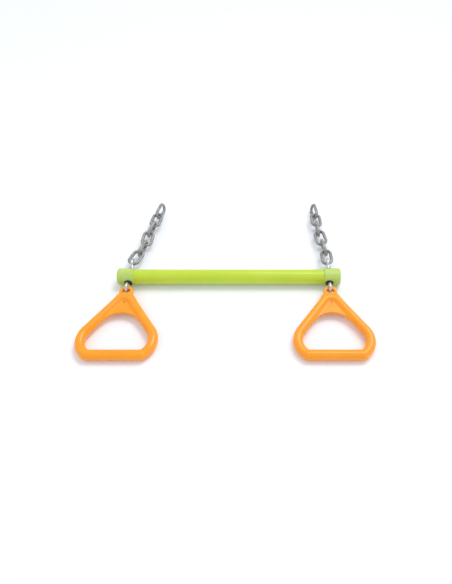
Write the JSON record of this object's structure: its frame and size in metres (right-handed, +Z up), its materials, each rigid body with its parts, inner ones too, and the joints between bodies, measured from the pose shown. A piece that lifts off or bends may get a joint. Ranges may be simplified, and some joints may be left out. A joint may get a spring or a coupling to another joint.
{
  "type": "trapeze bar with rings",
  "caption": "Child's trapeze bar: a straight tube with sleeved ends, triangular hand rings hung below it and short link chains above it, each on a swivelling eye.",
  "frame": {"origin": "middle of the bar on its axis", "axes": "+X along the bar, +Y towards the chains, +Z up from the surface that it lies on"},
  "size_m": [0.5328, 0.3976, 0.033],
  "materials": {
    "tube_paint": "smooth lime green gloss paint",
    "cap_plastic": "pale lime green moulded plastic, satin",
    "ring_plastic": "orange moulded plastic, satin gloss",
    "chain_galvanised": "dull grey galvanised",
    "zinc_hardware": "bright zinc plate",
    "bush_nylon": "black moulded nylon"
  },
  "bodies": {
    "bar": {"bar_tube": "tube_paint", "left_end_cap": "cap_plastic", "left_upper_bush": "bush_nylon", "left_lower_bush": "bush_nylon", "right_end_cap": "cap_plastic", "right_upper_bush": "bush_nylon", "right_lower_bush": "bush_nylon"},
    "left_swivel": {"left_eye_bolt": "zinc_hardware", "left_washer": "zinc_hardware", "left_eye_nut": "zinc_hardware"},
    "left_ring": {"left_ring": "ring_plastic"},
    "left_chain_link_1": {"left_chain_link_1": "chain_galvanised"},
    "left_chain_link_2": {"left_chain_link_2": "chain_galvanised"},
    "left_chain_link_3": {"left_chain_link_3": "chain_galvanised"},
    "left_chain_link_4": {"left_chain_link_4": "chain_galvanised"},
    "left_chain_link_5": {"left_chain_link_5": "chain_galvanised"},
    "left_chain_link_6": {"left_chain_link_6": "chain_galvanised"},
    "right_swivel": {"right_eye_bolt": "zinc_hardware", "right_washer": "zinc_hardware", "right_eye_nut": "zinc_hardware"},
    "right_ring": {"right_ring": "ring_plastic"},
    "right_chain_link_1": {"right_chain_link_1": "chain_galvanised"},
    "right_chain_link_2": {"right_chain_link_2": "chain_galvanised"},
    "right_chain_link_3": {"right_chain_link_3": "chain_galvanised"},
    "right_chain_link_4": {"right_chain_link_4": "chain_galvanised"},
    "right_chain_link_5": {"right_chain_link_5": "chain_galvanised"},
    "right_chain_link_6": {"right_chain_link_6": "chain_galvanised"}
  },
  "joints": [
    {"name": "left_swivel_turn", "type": "hinge", "parent": "bar", "child": "left_swivel", "pos_m": [-0.193, 0, 0], "axis": [0, 1, 0], "continuous": true},
    {"name": "left_ring_swing", "type": "hinge", "parent": "left_swivel", "child": "left_ring", "pos_m": [-0.193, -0.0291, 0], "axis": [1, 0, 0], "range_deg": [-92, 87]},
    {"name": "left_chain_link_1_hinge", "type": "hinge", "parent": "left_swivel", "child": "left_chain_link_1", "pos_m": [-0.193, 0.0419, 0], "axis": [0, 0, 1], "range_deg": [-60, 60]},
    {"name": "left_chain_link_2_hinge", "type": "hinge", "parent": "left_chain_link_1", "child": "left_chain_link_2", "pos_m": [-0.18323, 0.06874, -0.0015], "axis": [0.9281, -0.3455, -0.139], "range_deg": [-60, 60]},
    {"name": "left_chain_link_3_hinge", "type": "hinge", "parent": "left_chain_link_2", "child": "left_chain_link_3", "pos_m": [-0.17546, 0.09585, -0.0015], "axis": [0.1669, -0.0479, 0.9848], "range_deg": [-60, 60]},
    {"name": "left_chain_link_4_hinge", "type": "hinge", "parent": "left_chain_link_3", "child": "left_chain_link_4", "pos_m": [-0.17251, 0.12387, -0.00051], "axis": [-0.9735, 0.095, 0.2078], "range_deg": [-60, 60]},
    {"name": "left_chain_link_5_hinge", "type": "hinge", "parent": "left_chain_link_4", "child": "left_chain_link_5", "pos_m": [-0.16521, 0.15111, -0.00051], "axis": [-0.1677, 0.0449, -0.9848], "range_deg": [-60, 60]},
    {"name": "left_chain_link_6_hinge", "type": "hinge", "parent": "left_chain_link_5", "child": "left_chain_link_6", "pos_m": [-0.1608, 0.17896, -0.00002], "axis": [0.9877, -0.1564, 0], "range_deg": [-60, 60]},
    {"name": "right_swivel_turn", "type": "hinge", "parent": "bar", "child": "right_swivel", "pos_m": [0.193, 0, 0], "axis": [0, 1, 0], "continuous": true},
    {"name": "right_ring_swing", "type": "hinge", "parent": "right_swivel", "child": "right_ring", "pos_m": [0.193, -0.0291, 0], "axis": [1, 0, 0], "range_deg": [-92, 87]},
    {"name": "right_chain_link_1_hinge", "type": "hinge", "parent": "right_swivel", "child": "right_chain_link_1", "pos_m": [0.193, 0.0419, 0], "axis": [0, 0, 1], "range_deg": [-60, 60]},
    {"name": "right_chain_link_2_hinge", "type": "hinge", "parent": "right_chain_link_1", "child": "right_chain_link_2", "pos_m": [0.19101, 0.07039, -0.0015], "axis": [0.9818, 0.0778, 0.1734], "range_deg": [-60, 60]},
    {"name": "right_chain_link_3_hinge", "type": "hinge", "parent": "right_chain_link_2", "child": "right_chain_link_3", "pos_m": [0.18563, 0.09807, -0.0015], "axis": [0.1705, 0.0331, -0.9848], "range_deg": [-60, 60]},
    {"name": "right_chain_link_4_hinge", "type": "hinge", "parent": "right_chain_link_3", "child": "right_chain_link_4", "pos_m": [0.17977, 0.12564, -0.00051], "axis": [-0.9508, -0.1935, -0.2418], "range_deg": [-60, 60]},
    {"name": "right_chain_link_5_hinge", "type": "hinge", "parent": "right_chain_link_4", "child": "right_chain_link_5", "pos_m": [0.1778, 0.1537, -0.00248], "axis": [-0.1091, 0.0619, 0.9921], "range_deg": [-60, 60]},
    {"name": "right_chain_link_6_hinge", "type": "hinge", "parent": "right_chain_link_5", "child": "right_chain_link_6", "pos_m": [0.17633, 0.18183, -0.00396], "axis": [0.9893, 0.0446, -0.139], "range_deg": [-60, 60]}
  ]
}
